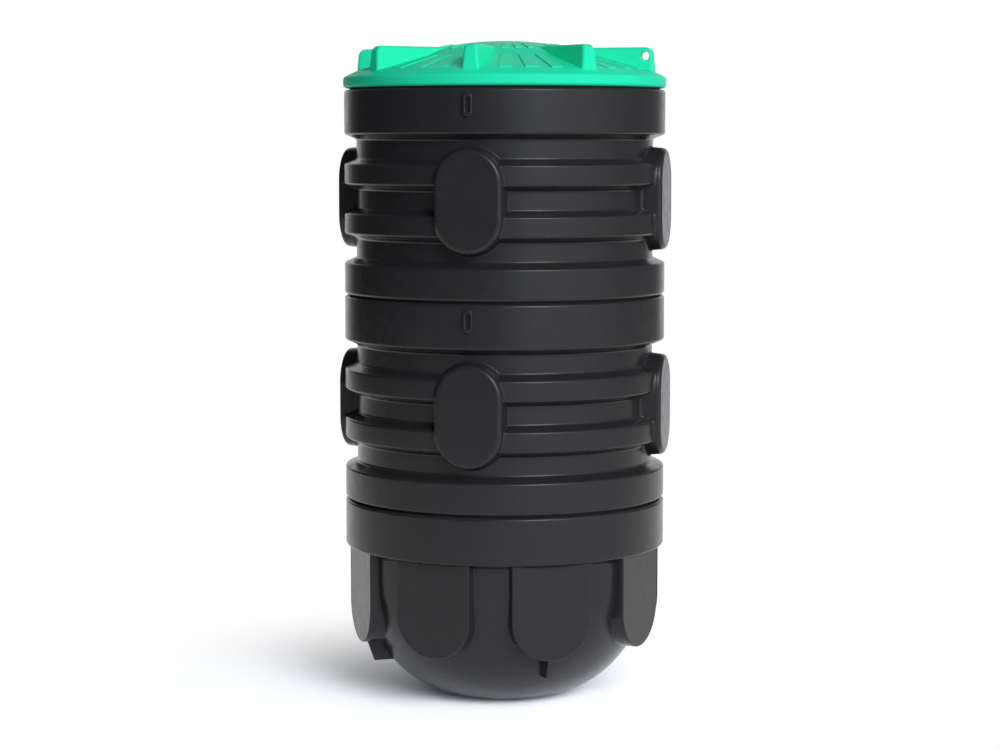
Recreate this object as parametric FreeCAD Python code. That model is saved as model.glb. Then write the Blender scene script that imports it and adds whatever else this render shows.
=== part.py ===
import FreeCAD, Part
import math
import os

# Drain inspection chamber, in millimetres: a dished sump, two ribbed shaft rings and a finned lid.
# It stands on the sump's flat at z = 0, with the shaft along +Z. Angles run from -Y towards +X.
# Each moulding is a shell of even wall: an outer form less the same form set in by the wall.

# Main sizes
collar_radius = 400.0
sump_height = 498.0
ring_height = 505.0

# Section shared by the mouldings
rib_depth = 30.0
land_width = 60.0
wall = 8.0
collar_slope = 16.0
spigot_length = 40.0
spigot_clearance = 2.0
rim_bevel = 6.0

# Shaft ring, from its foot up
flange_height = 74.0
flange_slope = 16.0
rib_count = 2
rib_face = 50.0
rib_slope = 13.0
collar_height = 108.0

# Pipe-entry pads on a ring
pad_count = 4
pad_width = 165.0
pad_height = 250.0
pad_proud = 10.0
pad_draft = 6.0
pad_bevel = 5.0

# Lug on a ring's collar
lug_width = 24.0
lug_height = 57.0
lug_proud = 7.5
lug_depth = 40.0
lug_draft = 1.5
lug_bevel = 2.5
lug_slot_width = 9.0
lug_slot_height = 36.0

# Sump, from the floor up
flat_radius = 98.0
sump_wall_height = 49.0
sump_collar_height = 115.0
sump_turn = 30.0

# Arched pads and gussets on the sump
arch_count = 8
arch_width = 200.0
arch_tip = 145.0
arch_proud = 7.5
arch_draft = 2.0
arch_bevel = 2.5
gusset_count = 4
gusset_thickness = 7.0
gusset_drop = 50.0
gusset_top_inset = 10.0
gusset_foot_inset = 28.0

# Seals
seal_thickness = 4.0
seal_inset = 6.0
seal_setback = 14.0

# Lid, from its brim up and in
lid_wall = 7.0
lid_clearance = 5.0
lid_spigot = 30.0
brim_overhang = 2.0
brim_height = 26.0
brim_bevel = 4.0
shoulder_width = 30.0
shoulder_rise = 15.0
cone_width = 140.0
cone_rise = 37.0
riser_width = 32.0
riser_rise = 13.0
crown_rise = 26.0

# Lid fins and the lock eye in one of them
fin_count = 8
fin_height = 73.0
fin_setback = 24.0
fin_end_draft = 5.0
fin_reach = 50.0
fin_width_top = 30.0
fin_width_foot = 46.0
fin_nose = 18.0
eye_radius = 11.0
eye_setback = 23.0
eye_drop = 21.0
eye_web = 30.0

# Lid panels: a row in each sector between two fins, in an outer tier on the cone and an inner on the crown
panels_per_sector = 3
panel_step = 10.0
panel_angle = 4.8
panel_rise = 4.5
panel_margin = 7.0
crown_panel_margin = 12.0
crown_panel_length = 52.0

# Radii and heights that follow from the sizes above
neck_radius = collar_radius - rib_depth
mouth_radius = collar_radius - land_width
spigot_radius = mouth_radius - spigot_clearance
lid_spigot_radius = mouth_radius - lid_clearance
brim_radius = collar_radius + brim_overhang
shoulder_radius = brim_radius - shoulder_width
riser_radius = shoulder_radius - cone_width
crown_radius = riser_radius - riser_width
shoulder_height = brim_height + shoulder_rise
riser_height = shoulder_height + cone_rise
crown_height = riser_height + riser_rise
lid_height = crown_height + crown_rise
fin_top = brim_height + fin_height
fin_end_radius = brim_radius - fin_setback
eye_centre_radius = fin_end_radius - eye_setback
flange_top = flange_height + flange_slope
rib_height = rib_face + 2 * rib_slope
ribbed_height = ring_height - flange_top - collar_slope - collar_height
neck_height = (ribbed_height - rib_count * rib_height) / (rib_count + 1)
dish_height = sump_height - sump_collar_height - collar_slope - sump_wall_height

# Places in the stack
axis = FreeCAD.Vector(0, 0, 1)
origin = FreeCAD.Vector(0, 0, 0)
same_place = 0.001
lower_ring_seat = sump_height + seal_thickness
lower_ring_top = lower_ring_seat + ring_height
upper_ring_seat = lower_ring_top + seal_thickness
upper_ring_top = upper_ring_seat + ring_height
lid_seat = upper_ring_top + seal_thickness


def turned(shape, degrees):
    """A copy of the shape, turned about the shaft from -Y towards +X."""
    copy = shape.copy()
    copy.rotate(origin, axis, degrees)
    return copy


def around(shape, count, first=0.0):
    """Copies of the shape at even angles about the shaft."""
    return [turned(shape, first + 360.0 * i / count) for i in range(count)]


def outline(corners):
    """Points along (r, z, bevel) corners, with two points in place of each bevelled corner."""
    places = [FreeCAD.Vector(r, 0, z) for r, z, bevel in corners]
    points = [places[0]]
    for before, here, after, (r, z, bevel) in zip(places, places[1:], places[2:], corners[1:]):
        if bevel:
            points += [here + (before - here).normalize() * bevel, here + (after - here).normalize() * bevel]
        else:
            points.append(here)
    return points + [places[-1]]


def set_in(corners, distance):
    """The same corners without bevels, moved to the left of their path by an even distance."""
    steps = [(b[0] - a[0], b[1] - a[1]) for a, b in zip(corners, corners[1:])]
    units = [(dr / math.hypot(dr, dz), dz / math.hypot(dr, dz)) for dr, dz in steps]
    moved = []
    for (r, z, bevel), (ur, uz), (vr, vz) in zip(corners, units[:1] + units, units + units[-1:]):
        share = distance / (1 + ur * vr + uz * vz)
        moved.append((r - (uz + vz) * share, z + (ur + vr) * share, 0.0))
    return moved


def turned_solid(edges):
    """The solid swept by a profile in the (r, z) plane, closed along the shaft's axis."""
    first = edges[0].Vertexes[0].Point
    last = edges[-1].Vertexes[-1].Point
    stops = [last, axis * last.z, axis * first.z, first]
    closing = [Part.makeLine(p, q) for p, q in zip(stops, stops[1:]) if not p.isEqual(q, same_place)]
    return Part.Face(Part.Wire(edges + closing)).revolve(origin, axis, 360)


def lines(points):
    """Straight edges from point to point."""
    return [Part.makeLine(p, q) for p, q in zip(points, points[1:])]


def oblong(distance, width, bottom, top, round_top):
    """A wire facing -Y at the distance: straight sides, a round lower end and a round or square top."""
    half = width / 2
    low = bottom + half
    high = top - half if round_top else top

    def at(x, z):
        return FreeCAD.Vector(x, -distance, z)

    foot = Part.Arc(at(-half, low), at(0, bottom), at(half, low)).toShape()
    right = Part.makeLine(at(half, low), at(half, high))
    left = Part.makeLine(at(-half, high), at(-half, low))
    if round_top:
        head = Part.Arc(at(half, high), at(0, top), at(-half, high)).toShape()
    else:
        head = Part.makeLine(at(half, high), at(-half, high))
    return Part.Wire([foot, right, head, left])


def boss(face, root, width, bottom, top, draft, bevel=0.0, round_top=True):
    """A drafted oblong boss facing -Y, from its root out to a flat face with a bevelled edge."""
    shoulder = face - bevel
    sections = [(root, draft), (shoulder, 0.0)] + ([(face, -bevel)] if bevel else [])
    wires = [oblong(distance, width + 2 * spread, bottom - spread, top + spread * round_top, round_top)
             for distance, spread in sections]
    return Part.makeLoft(wires, True, True)


def collar_corners(top, face):
    """Corners of a socket collar whose land lies at the top, from its foot up and in to the mouth."""
    foot = top - face
    return [(neck_radius, foot - collar_slope, 0.0), (collar_radius, foot, 0.0),
            (collar_radius, top, rim_bevel), (mouth_radius, top, 0.0)]


def rib_corners():
    """Corners of the ribs' outline, from the lowest rib up."""
    corners = []
    for i in range(rib_count):
        foot = flange_top + neck_height + i * (rib_height + neck_height)
        corners += [(neck_radius, foot, 0.0), (collar_radius, foot + rib_slope, 0.0),
                    (collar_radius, foot + rib_slope + rib_face, 0.0), (neck_radius, foot + rib_height, 0.0)]
    return corners


def lug():
    """The raised loop on a ring's collar: a drafted oblong with a slot sunk to the collar's face."""
    centre = ring_height - lug_depth
    loop = boss(collar_radius + lug_proud, collar_radius - wall / 2, lug_width,
                centre - lug_height / 2, centre + lug_height / 2, lug_draft, lug_bevel)
    slot = boss(collar_radius + 2 * lug_proud, collar_radius, lug_slot_width,
                centre - lug_slot_height / 2, centre + lug_slot_height / 2, 0.0)
    return loop.cut(slot)


def shaft_ring():
    """One shaft ring, standing on its foot flange, with its spigot below."""
    corners = [(spigot_radius, -spigot_length, 0.0), (spigot_radius, 0.0, 0.0), (collar_radius, 0.0, rim_bevel),
               (collar_radius, flange_height, 0.0), (neck_radius, flange_top, 0.0)]
    corners += rib_corners() + collar_corners(ring_height, collar_height)
    low = flange_top + (ribbed_height - pad_height) / 2
    high = low + pad_height
    pad_face = collar_radius + pad_proud
    pad = boss(pad_face, mouth_radius, pad_width, low, high, pad_draft, pad_bevel)
    pocket = boss(pad_face - wall, mouth_radius - wall, pad_width - 2 * wall, low + wall, high - wall, pad_draft)
    outer = turned_solid(lines(outline(corners))).fuse(around(pad, pad_count))
    inside = outline(set_in(corners, wall))
    inside = [inside[0] - axis * wall] + inside + [inside[-1] + axis * 2 * wall]
    core = turned_solid(lines(inside)).fuse(around(pocket, pad_count))
    return outer.cut(core).fuse(lug()).removeSplitter()


def dish(inset):
    """The sump's flat and its quarter-ellipse dish, from the axis out to the wall."""
    flat = FreeCAD.Vector(flat_radius, 0, inset)
    wall_foot = FreeCAD.Vector(neck_radius - inset, 0, dish_height)
    centre = FreeCAD.Vector(flat_radius, 0, dish_height)
    deep = dish_height - inset > neck_radius - inset - flat_radius
    ends = (flat, wall_foot) if deep else (wall_foot, flat)
    curve = Part.ArcOfEllipse(Part.Ellipse(*ends, centre), 0, math.pi / 2)
    return [Part.makeLine(axis * inset, flat), curve.toShape()]


def dish_radius(height):
    """Outer radius of the dish at a height above the floor."""
    drop = (dish_height - height) / dish_height
    return flat_radius + (neck_radius - flat_radius) * math.sqrt(1 - drop ** 2)


def gusset():
    """A short upright web under an arched pad's tip, facing -Y."""
    top = arch_tip + arch_draft
    foot = arch_tip - gusset_drop
    top_radius = neck_radius - gusset_top_inset
    section = [(flat_radius, foot), (neck_radius - gusset_foot_inset, foot), (top_radius, arch_tip),
               (top_radius, top), (flat_radius, top)]
    points = [FreeCAD.Vector(-gusset_thickness / 2, -r, z) for r, z in section]
    face = Part.Face(Part.makePolygon(points + points[:1]))
    return face.extrude(FreeCAD.Vector(gusset_thickness, 0, 0))


def sump():
    """The dished base with its arched pads, gussets and socket collar."""
    corners = [(neck_radius, dish_height, 0.0)] + collar_corners(sump_height, sump_collar_height)
    arch_top = sump_height - sump_collar_height / 2
    arch_face = neck_radius + arch_proud
    root = dish_radius(arch_tip - arch_draft) - 2 * wall
    arch = boss(arch_face, root, arch_width, arch_tip, arch_top, arch_draft, arch_bevel, False)
    pocket = boss(arch_face - wall, root - wall, arch_width - 2 * wall, arch_tip + wall, arch_top - wall,
                  arch_draft, 0.0, False)
    outer = turned_solid(dish(0.0) + lines(outline(corners)))
    outer = outer.fuse(around(arch, arch_count, sump_turn) + around(gusset(), gusset_count, sump_turn))
    inside = outline(set_in(corners, wall))
    core = turned_solid(dish(wall) + lines(inside + [inside[-1] + axis * 2 * wall]))
    core = core.fuse(around(pocket, arch_count, sump_turn))
    return outer.cut(core).removeSplitter()


def seal():
    """A flat rubber ring that lies on a collar's land."""
    outer = Part.makeCylinder(collar_radius - seal_setback, seal_thickness)
    return outer.cut(Part.makeCylinder(mouth_radius + seal_inset, seal_thickness))


def crown_arc(rim, top):
    """The lid's crown in section: a shallow arc from its rim to the axis."""
    rise = top - rim.z
    ball = (rim.x ** 2 + rise ** 2) / (2 * rise)
    half = rim.x / 2
    middle = FreeCAD.Vector(half, 0, top - ball + math.sqrt(ball ** 2 - half ** 2))
    return Part.Arc(rim, middle, axis * top).toShape()


def surface_height(radius):
    """Height of the lid's outer surface at a radius on its cone or crown."""
    if radius > crown_radius:
        share = (shoulder_radius - radius) / (shoulder_radius - riser_radius)
        return shoulder_height + share * (riser_height - shoulder_height)
    rise = lid_height - crown_height
    ball = (crown_radius ** 2 + rise ** 2) / (2 * rise)
    return lid_height - ball + math.sqrt(ball ** 2 - radius ** 2)


def panel(inner_radius, outer_radius):
    """A low raised panel with radial sides, centred on -Y, that follows the lid's slope."""
    low = surface_height(outer_radius)
    high = surface_height(inner_radius)
    sunk = lid_wall / 2
    section = [(inner_radius, high - sunk), (outer_radius, low - sunk),
               (outer_radius, low + panel_rise), (inner_radius, high + panel_rise)]
    points = [FreeCAD.Vector(r, 0, z) for r, z in section]
    face = Part.Face(Part.makePolygon(points + points[:1]))
    return turned(face.revolve(origin, axis, panel_angle), -90 - panel_angle / 2)


def panels():
    """Every raised panel of both tiers."""
    first = (360.0 / fin_count - panel_step * (panels_per_sector - 1)) / 2
    crown_tier = crown_radius - crown_panel_margin
    tiers = ((riser_radius + panel_margin, shoulder_radius - panel_margin),
             (crown_tier - crown_panel_length, crown_tier))
    pieces = []
    for tier in tiers:
        for i in range(panels_per_sector):
            pieces += around(panel(*tier), fin_count, first + i * panel_step)
    return pieces


def fin(inset, end_radius):
    """A radial fin along -Y, set in on every side: its side view crossed with its drafted section."""
    foot = brim_height + inset
    top = fin_top - inset
    inner_radius = crown_radius - fin_reach
    side = [(0, -inner_radius, foot), (0, -end_radius, foot), (0, -end_radius + fin_end_draft, top),
            (0, -inner_radius, top)]
    half_foot = fin_width_foot / 2 - inset
    half_top = fin_width_top / 2 - inset
    section = [(-half_foot, 0, foot), (half_foot, 0, foot), (half_top, 0, top), (-half_top, 0, top)]
    side_face, section_face = [Part.Face(Part.makePolygon([FreeCAD.Vector(p) for p in shape + shape[:1]]))
                               for shape in (side, section)]
    across = side_face.extrude(FreeCAD.Vector(fin_width_foot, 0, 0))
    across.translate(FreeCAD.Vector(-fin_width_foot / 2, 0, 0))
    return across.common(section_face.extrude(FreeCAD.Vector(0, -end_radius, 0)))


def nosed_fin():
    """A whole fin with its outer top corner rounded."""
    block = fin(0.0, fin_end_radius)
    end = fin_end_radius - fin_end_draft
    nose = [e for e in block.Edges
            if e.BoundBox.YMax < same_place - end and e.BoundBox.ZMin > fin_top - same_place]
    return block.makeFillet(fin_nose, nose)


def lock_eye():
    """The hole across the fin on +X, for a padlock."""
    centre = FreeCAD.Vector(eye_centre_radius, -fin_width_foot, fin_top - eye_drop)
    return Part.makeCylinder(eye_radius, 2 * fin_width_foot, centre, FreeCAD.Vector(0, 1, 0))


def lid():
    """The domed lid, sitting on its brim with its spigot below."""
    corners = [(lid_spigot_radius, -lid_spigot, 0.0), (lid_spigot_radius, 0.0, 0.0), (brim_radius, 0.0, brim_bevel),
               (brim_radius, brim_height, brim_bevel), (shoulder_radius, shoulder_height, 0.0),
               (riser_radius, riser_height, 0.0), (crown_radius, crown_height, 0.0)]
    outside = outline(corners)
    outer = turned_solid(lines(outside) + [crown_arc(outside[-1], lid_height)])
    outer = outer.fuse(around(nosed_fin(), fin_count) + panels())
    inside = outline(set_in(corners, lid_wall))
    inside.insert(0, inside[0] - axis * lid_wall)
    core = turned_solid(lines(inside) + [crown_arc(inside[-1], lid_height - lid_wall)])
    core = core.fuse(around(fin(lid_wall, eye_centre_radius - eye_web), fin_count))
    return outer.cut(core).cut(lock_eye()).removeSplitter()


def write(node, shape, height):
    """Save one node's solid at its height in the stack."""
    placed = shape.copy()
    placed.translate(axis * height)
    placed.exportStep(os.path.join("parts", node + ".step"))


os.makedirs("parts", exist_ok=True)
ring = shaft_ring()
rubber_ring = seal()
write("base_sump", sump(), 0.0)
write("base_joint_seal", rubber_ring, sump_height)
write("lower_ring", ring, lower_ring_seat)
write("ring_joint_seal", rubber_ring, lower_ring_top)
write("upper_ring", ring, upper_ring_seat)
write("lid_seal", rubber_ring, upper_ring_top)
write("lid", lid(), lid_seat)
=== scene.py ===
"""Dresses the drain inspection chamber: rounded moulded shells, their finishes and a plain studio."""

import math

import bpy
import numpy as np
from bpy.props import FloatProperty, FloatVectorProperty, IntProperty, PointerProperty
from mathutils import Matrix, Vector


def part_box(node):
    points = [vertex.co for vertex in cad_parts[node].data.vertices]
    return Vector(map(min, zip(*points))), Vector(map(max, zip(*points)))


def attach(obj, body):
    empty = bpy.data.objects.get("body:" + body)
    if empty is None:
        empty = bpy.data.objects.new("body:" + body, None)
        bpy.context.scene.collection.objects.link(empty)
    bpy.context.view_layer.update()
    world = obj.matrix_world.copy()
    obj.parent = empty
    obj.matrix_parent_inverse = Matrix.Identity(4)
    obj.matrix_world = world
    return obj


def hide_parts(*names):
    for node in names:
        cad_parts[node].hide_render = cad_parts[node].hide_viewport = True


bl_info = {
    "name": "Drain inspection chamber",
    "version": (1, 0, 0),
    "blender": (4, 5, 0),
    "location": "View3D > Sidebar > Chamber",
    "description": "Builds the chamber's sump, shaft rings and lid round the packed model, and a studio",
    "category": "Mesh",
}

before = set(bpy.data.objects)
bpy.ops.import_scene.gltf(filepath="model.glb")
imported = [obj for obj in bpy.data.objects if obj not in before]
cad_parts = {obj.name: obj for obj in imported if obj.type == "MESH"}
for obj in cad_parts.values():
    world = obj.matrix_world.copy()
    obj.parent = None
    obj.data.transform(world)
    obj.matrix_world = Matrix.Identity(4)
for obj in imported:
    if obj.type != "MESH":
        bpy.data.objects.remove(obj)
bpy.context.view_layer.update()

# How finely the surfaces are divided: steps round the shaft, the turn of an arc's chords and how far
# they lie inside it, and steps along the dish and the crown
TURN_STEPS = 240
ARC_STEP = math.radians(15.0)
ARC_SAG = 0.00012
DISH_STEPS = 44
CROWN_STEPS = 18

# Edges that bend more than this stay sharp
SHARP_ANGLE = math.radians(32.0)

# Points nearer than this are one
SAME_PLACE = 1e-6

# Light colours
WHITE = (1.0, 1.0, 1.0, 1.0)
PLAIN = (1.0, 1.0, 1.0)
COOL = (0.35, 0.5, 1.0)

# Noise in the moulded surfaces: haze, gloss, waves of the wall and grain, with the range of the gloss noise
# that counts and how far the roughness swings over it
HAZE_NOISE = {"Scale": 9.0, "Detail": 5.0}
GLOSS_NOISE = {"Scale": 32.0, "Detail": 6.0}
WAVE_NOISE = {"Scale": 6.0, "Detail": 1.0}
GRAIN_NOISE = {"Scale": 420.0, "Detail": 3.0}
GLOSS_RANGE = (0.3, 0.7)
ROUGH_SWING = (-0.04, 0.05)

# Width of the camera's sensor, in millimetres
SENSOR_WIDTH = 36.0

# The solid that cuts the lock eye flares at its ends by this many times the eye's edge rounding
EYE_FLARE = 1.1

# Folds inside a shell are tighter than those outside
INSIDE_FOLD = 0.003

# The part of a plate that stays flat starts this far inside its rounded edge
FLAT_MARGIN = 0.0015

# A rounded root is divided this finely along its path. Its foot sinks this far into what carries it,
# and its head stays as far under the rim
ROOT_STEP = 0.002
ROOT_SINK = 0.0004


def size(label, words, default):
    """A length that a user may change, in metres."""
    return FloatProperty(name=label, description=words, default=default, unit="LENGTH", precision=4)


def turn(label, words, default):
    """An angle that a user may change, given in degrees."""
    return FloatProperty(name=label, description=words, default=math.radians(default), subtype="ANGLE")


def share(label, words, default):
    """A plain factor that a user may change."""
    return FloatProperty(name=label, description=words, default=default, min=0.0, subtype="FACTOR")


def tint(label, words, default):
    """A colour that a user may change, in linear values."""
    return FloatVectorProperty(name=label, description=words, default=default, subtype="COLOR",
                               min=0.0, max=1.0)


def count(label, words, default):
    """A number of like features."""
    return IntProperty(name=label, description=words, default=default, min=1)


class ShellSizes(bpy.types.PropertyGroup):
    """The section that the sump and the rings share."""

    collar_radius: size("Collar radius", "Outside of collars, flanges and ribs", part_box("base_sump")[1][0])
    rib_depth: size("Rib depth", "How far the necks lie inside the collars", 0.03)
    land_width: size("Land width", "Width of the flat land round a mouth", 0.06)
    wall: size("Wall", "Thickness of the moulded wall", 0.008)
    collar_slope: size("Collar slope", "Height of the slope under a collar", 0.0125)
    rim: size("Rim radius", "Rounding of the edges beside a joint", 0.008)
    fold: size("Fold radius", "Rounding of the outer folds of ribs and collars", 0.007)
    root: size("Root radius", "Rounding where a slope meets a neck", 0.008)


class RingSizes(bpy.types.PropertyGroup):
    """One shaft ring."""

    spigot_length: size("Spigot length", "How far the spigot reaches into the collar below", 0.04)
    spigot_clearance: size("Spigot clearance", "Room between the spigot and the mouth below", 0.002)
    flange_height: size("Flange height", "Upright face of the foot flange", 0.0779)
    flange_slope: size("Flange slope", "Height of the slope over the flange", 0.0125)
    rib_count: count("Ribs", "Ribs between flange and collar", 2)
    rib_face: size("Rib face", "Upright face of a rib", 0.0495)
    rib_slope: size("Rib slope", "Height of a rib's slopes", 0.0115)
    collar_height: size("Collar height", "Upright face of the collar", 0.109)
    pad_count: count("Pads", "Pipe-entry pads round the ring", 4)
    pad_face: size("Pad face", "Distance of a pad's face from the axis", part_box("lower_ring")[1][0])
    pad_width: size("Pad width", "Width of a pad", 0.165)
    pad_height: size("Pad height", "Height of a pad", 0.25)
    pad_draft: size("Pad draft", "How far a pad's sides spread towards its root", 0.006)
    pad_edge: size("Pad edge", "Rounding of a pad's edge", 0.011)
    pad_root: size("Pad root", "Rounding where a pad's sides run into the ring", 0.007)
    lug_width: size("Lug width", "Width of the loop on the collar", 0.024)
    lug_height: size("Lug height", "Height of the loop", 0.057)
    lug_proud: size("Lug stand", "How far the loop stands off the collar", 0.0075)
    lug_depth: size("Lug depth", "Distance of the loop's centre under the ring's top", 0.04)
    lug_edge: size("Lug edge", "Rounding of the loop's edges", 0.003)
    slot_width: size("Slot width", "Width of the slot in the loop", 0.009)
    slot_height: size("Slot height", "Height of the slot in the loop", 0.036)


class SumpSizes(bpy.types.PropertyGroup):
    """The dished sump."""

    flat_radius: size("Flat radius", "Flat of the bottom", 0.098)
    wall_height: size("Wall height", "Upright wall between dish and collar", 0.0525)
    collar_height: size("Collar height", "Upright face of the collar", 0.115)
    turn: turn("Turn", "Turn of the arched pads about the axis", 30.0)
    arch_count: count("Arched pads", "Flat arched pads round the dish", 8)
    arch_width: size("Arch width", "Width of an arched pad", 0.2)
    arch_tip: size("Arch tip", "Height of a pad's round tip", 0.145)
    arch_proud: size("Arch stand", "How far a pad's face stands off the wall", 0.0075)
    arch_draft: size("Arch draft", "How far a pad's sides spread towards its root", 0.002)
    arch_edge: size("Arch edge", "Rounding of a pad's edge", 0.003)
    gusset_count: count("Gussets", "Short webs under the pads' tips", 4)
    gusset_thickness: size("Gusset thickness", "Thickness of a web", 0.007)
    gusset_drop: size("Gusset drop", "How far a web hangs under a tip", 0.05)
    gusset_top_inset: size("Gusset top inset", "Top of a web inside the wall", 0.01)
    gusset_foot_inset: size("Gusset foot inset", "Foot of a web inside the wall", 0.028)
    gusset_edge: size("Gusset edge", "Rounding of a web's edges", 0.0015)


class LidSizes(bpy.types.PropertyGroup):
    """The finned lid."""

    wall: size("Wall", "Thickness of the lid's wall", 0.007)
    clearance: size("Clearance", "Room between the lid's spigot and the mouth", 0.005)
    spigot: size("Spigot", "Length of the lid's spigot", 0.03)
    brim_radius: size("Brim radius", "Outside of the brim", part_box("lid")[1][0])
    brim_height: size("Brim height", "Height of the brim", 0.026)
    brim_edge: size("Brim edge", "Rounding of the brim's edges", 0.009)
    shoulder_width: size("Shoulder width", "Width of the slope inside the brim", 0.03)
    shoulder_rise: size("Shoulder rise", "Height of that slope", 0.015)
    cone_width: size("Cone width", "Width of the panelled cone", 0.14)
    cone_rise: size("Cone rise", "Height of the cone", 0.037)
    riser_width: size("Riser width", "Width of the step up to the crown", 0.032)
    riser_rise: size("Riser rise", "Height of that step", 0.013)
    crown_rise: size("Crown rise", "Height of the crown", 0.026)
    fold: size("Fold radius", "Rounding of the lid's folds", 0.006)
    fin_count: count("Fins", "Radial fins", 8)
    fin_height: size("Fin height", "Height of a fin over the brim", 0.073)
    fin_setback: size("Fin setback", "A fin's end inside the brim", 0.024)
    fin_end_draft: size("Fin end draft", "Slope of a fin's end", 0.005)
    fin_reach: size("Fin reach", "How far a fin runs on inside the crown", 0.05)
    fin_width_top: size("Fin width at the top", "Width of a fin's top", 0.03)
    fin_width_foot: size("Fin width at the foot", "Width of a fin's foot", 0.046)
    fin_nose: size("Fin nose", "Rounding of a fin's outer top corner", 0.018)
    fin_edge: size("Fin edge", "Rounding of a fin's edges", 0.007)
    eye_radius: size("Eye radius", "Radius of the lock eye", 0.011)
    eye_setback: size("Eye setback", "The eye's centre inside the fin's end", 0.023)
    eye_drop: size("Eye drop", "The eye's centre under the fin's top", 0.021)
    eye_web: size("Eye web", "Solid part of the fins inside the eye's centre", 0.03)
    eye_edge: size("Eye edge", "Rounding of the eye's rims", 0.002)
    panels_per_sector: count("Panels", "Raised panels between two fins, in each tier", 3)
    panel_step: turn("Panel step", "Angle from panel to panel", 10.0)
    panel_angle: turn("Panel angle", "Angle that a panel takes up", 4.8)
    panel_rise: size("Panel rise", "How far a panel stands off the lid", 0.003)
    panel_corner: size("Panel corner", "Rounding of a panel's corners", 0.003)
    panel_edge: size("Panel edge", "Rounding of a panel's upper edge", 0.0015)
    panel_margin: size("Panel margin", "Bare ends of the cone", 0.007)
    crown_panel_margin: size("Crown panel margin", "Bare rim of the crown", 0.012)
    crown_panel_length: size("Crown panel length", "Length of the crown's panels", 0.052)


class Finishes(bpy.types.PropertyGroup):
    """Colours and surface of the mouldings and seals."""

    black: tint("Black", "Polyethylene of the sump and the rings", (0.0203, 0.0203, 0.0222))
    black_haze: tint("Black haze", "Paler patches of the black", (0.0237, 0.0237, 0.0257))
    black_shine: share("Black shine", "How strongly the black mouldings mirror", 0.27)
    black_rough: share("Black roughness", "How widely their shine spreads", 0.24)
    green: tint("Green", "Polyethylene of the lid", (0.02, 0.86, 0.49))
    green_haze: tint("Green haze", "Paler patches of the green", (0.022, 0.9, 0.52))
    green_shine: share("Green shine", "How strongly the lid mirrors", 0.05)
    green_rough: share("Green roughness", "How widely its shine spreads", 0.4)
    rubber: tint("Rubber", "Seals", (0.012, 0.012, 0.012))
    rubber_haze: tint("Rubber bloom", "Paler bloom on the seals", (0.03, 0.03, 0.031))
    rubber_shine: share("Rubber shine", "How strongly the seals mirror", 0.4)
    rubber_rough: share("Rubber roughness", "How widely their shine spreads", 0.75)
    grain: size("Grain height", "Height of the fine moulded grain", 0.00006)
    sway: size("Sway height", "Height of the slow waves in the wall", 0.0006)


class StageSettings(bpy.types.PropertyGroup):
    """Studio, lights and camera."""

    camera_turn: turn("Camera turn", "Where the camera stands round the axis, from -Y towards +X", 12.5)
    camera_distance: size("Camera distance", "Level distance from the axis", 6.327)
    camera_height: size("Camera height", "Height over the floor", 1.401)
    camera_pitch: turn("Camera pitch", "How far the camera looks down", 5.404)
    camera_yaw: turn("Camera yaw", "How far the camera looks past the axis", 0.106)
    lens: FloatProperty(name="Lens", description="Focal length", default=90.8, unit="CAMERA")
    floor_reach: size("Floor reach", "Half the side of the floor", 6.0)
    floor_tone: tint("Floor tone", "Colour of the floor", (0.82, 0.84, 0.89))
    floor_gain: share("Floor gain", "How much paler the floor is where it is seen or mirrored", 2.9)
    fade_start: size("Fade start", "Distance from the axis where the floor starts to turn white", 0.15)
    fade_end: size("Fade end", "Distance from the axis where the floor is white", 1.25)
    backdrop_tint: tint("Backdrop tint", "Colour of the backdrop in the shine", (0.94, 0.95, 1.0))
    backdrop_edge: turn("Backdrop edge", "Where the backdrop in the shine ends, from its middle", 40.0)
    backdrop_fade: turn("Backdrop fade", "Where that backdrop starts to fade", 20.0)
    room_level: share("Room level", "Even light from all round", 0.04)


def soft_light(name, words, bearing, rise, focus, level, colour=PLAIN):
    """A settings group for one soft light of the room."""
    settings = {
        "turn": turn("Turn", "Bearing of its middle, from the camera towards its right", bearing),
        "rise": turn("Rise", "Height of its middle over the horizon", rise),
        "focus": share("Focus", "How fast it fades away from its middle", focus),
        "level": share("Level", "Brightness of its middle", level),
        "colour": tint("Colour", "Colour of the light", colour),
    }
    return type(name, (bpy.types.PropertyGroup,), {"__doc__": words, "__annotations__": settings})


LIGHTS = {
    "chamber_top": soft_light(
        "TopLight", "Main light, from above and to the right of the camera.",
        bearing=25.0, rise=28.0, focus=40.0, level=11.0),
    "chamber_front": soft_light(
        "FrontLight", "Light from the camera's side.",
        bearing=5.0, rise=12.0, focus=10.0, level=0.2),
    "chamber_key": soft_light(
        "KeyLight", "Light from the right of the camera.",
        bearing=25.0, rise=12.0, focus=10.0, level=0.44),
    "chamber_wide": soft_light(
        "WideLight", "Wide light round the last one.",
        bearing=25.0, rise=15.0, focus=3.0, level=0.27),
    "chamber_sheen": soft_light(
        "SheenLight", "Cool light that draws the sheen.",
        bearing=17.0, rise=8.0, focus=40.0, level=1.0, colour=COOL),
    "chamber_right": soft_light(
        "RightLight", "Light from farther right.",
        bearing=45.0, rise=12.0, focus=10.0, level=0.82),
    "chamber_side": soft_light(
        "SideLight", "Light from the right side.",
        bearing=70.0, rise=12.0, focus=10.0, level=0.73),
    "chamber_rear": soft_light(
        "RearLight", "Light from behind on the right.",
        bearing=115.0, rise=10.0, focus=8.0, level=0.2),
    "chamber_left": soft_light(
        "LeftLight", "Faint light from the left.",
        bearing=-60.0, rise=15.0, focus=4.0, level=0.04),
    "chamber_back": soft_light(
        "BackLight", "Light from the backdrop.",
        bearing=180.0, rise=3.0, focus=6.0, level=0.48),
}


def unit(vectors):
    """The vectors at length one."""
    return vectors / np.linalg.norm(vectors, axis=-1, keepdims=True)


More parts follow.
